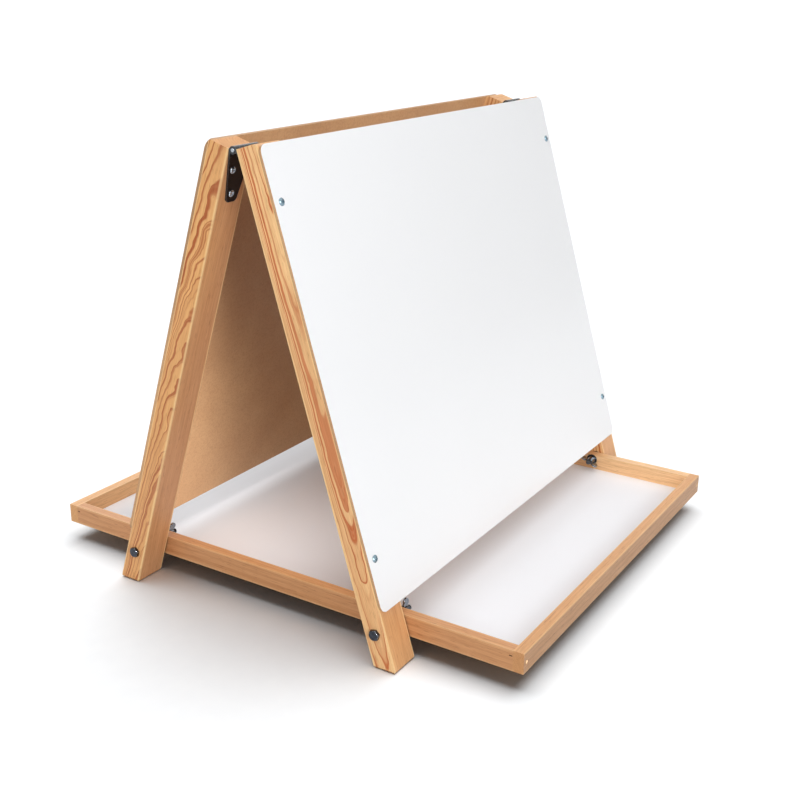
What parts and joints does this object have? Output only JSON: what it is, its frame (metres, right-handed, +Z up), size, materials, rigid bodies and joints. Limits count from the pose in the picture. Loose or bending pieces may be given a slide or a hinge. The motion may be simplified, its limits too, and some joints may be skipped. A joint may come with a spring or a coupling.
{
  "type": "kids easel",
  "caption": "Double-sided table-top easel: two hinged wooden panels with white boards over a wide shallow tray that is bolted between the legs with wing nuts.",
  "frame": {"origin": "on the floor, under the middle of the ridge and of the tray", "axes": "X along the ridge (left end is -X), the front board leans towards -Y, +Z up"},
  "size_m": [0.618, 0.6332, 0.5236],
  "materials": {
    "leg_wood": "clear satin lacquer over flat-sawn softwood",
    "rail_wood": "clear satin lacquer over straight-grained softwood",
    "white_hardboard": "glossy white dry-erase film on brown hardboard",
    "black_steel": "gloss black enamel",
    "zinc_steel": "bright zinc plate",
    "dark_steel": "dull dark coating",
    "wood_filler": "matt pale filler"
  },
  "bodies": {
    "back_frame": {"back_left_leg": "leg_wood", "back_right_leg": "leg_wood", "back_board": "white_hardboard", "back_board_screws": "zinc_steel", "left_hinge_back_leaf": "black_steel", "right_hinge_back_leaf": "black_steel", "left_hinge_pin": "zinc_steel", "right_hinge_pin": "zinc_steel", "back_hinge_screws": "zinc_steel", "back_left_bolt": "zinc_steel", "back_right_bolt": "zinc_steel", "back_bolt_washers": "zinc_steel"},
    "front_frame": {"front_left_leg": "leg_wood", "front_right_leg": "leg_wood", "front_board": "white_hardboard", "front_board_screws": "zinc_steel", "left_hinge_front_leaf": "black_steel", "right_hinge_front_leaf": "black_steel", "front_hinge_screws": "zinc_steel", "front_left_bolt_head": "zinc_steel", "front_right_bolt_head": "zinc_steel"},
    "tray": {"tray_front_rail": "rail_wood", "tray_back_rail": "rail_wood", "tray_left_rail": "rail_wood", "tray_right_rail": "rail_wood", "tray_panel": "white_hardboard", "tray_corner_nails": "zinc_steel", "tray_corner_brads": "dark_steel", "tray_nail_plugs": "wood_filler", "tray_panel_brads": "zinc_steel", "front_left_bolt_end": "zinc_steel", "front_right_bolt_end": "zinc_steel", "front_bolt_washers": "zinc_steel"},
    "back_left_nut": {"back_left_wing_nut": "zinc_steel"},
    "back_right_nut": {"back_right_wing_nut": "zinc_steel"},
    "front_left_nut": {"front_left_wing_nut": "zinc_steel"},
    "front_right_nut": {"front_right_wing_nut": "zinc_steel"}
  },
  "joints": [
    {"name": "ridge_fold", "type": "hinge", "parent": "back_frame", "child": "front_frame", "pos_m": [0, 0, 0.5155], "axis": [1, 0, 0], "range_deg": [0, 34]},
    {"name": "tray_tilt", "type": "hinge", "parent": "back_frame", "child": "tray", "pos_m": [0, 0.16666, 0.0396], "axis": [1, 0, 0], "range_deg": [0, 48]},
    {"name": "back_left_nut_spin", "type": "hinge", "parent": "back_frame", "child": "back_left_nut", "pos_m": [-0.247, 0.16666, 0.0396], "axis": [1, 0, 0], "continuous": true},
    {"name": "back_right_nut_spin", "type": "hinge", "parent": "back_frame", "child": "back_right_nut", "pos_m": [0.247, 0.16666, 0.0396], "axis": [1, 0, 0], "continuous": true},
    {"name": "front_left_nut_spin", "type": "hinge", "parent": "tray", "child": "front_left_nut", "pos_m": [-0.247, -0.16666, 0.0396], "axis": [1, 0, 0], "continuous": true},
    {"name": "front_right_nut_spin", "type": "hinge", "parent": "tray", "child": "front_right_nut", "pos_m": [0.247, -0.16666, 0.0396], "axis": [1, 0, 0], "continuous": true}
  ],
  "couplings": [
    {"joint": "tray_tilt", "follows": "ridge_fold", "ratio": 1.4}
  ]
}
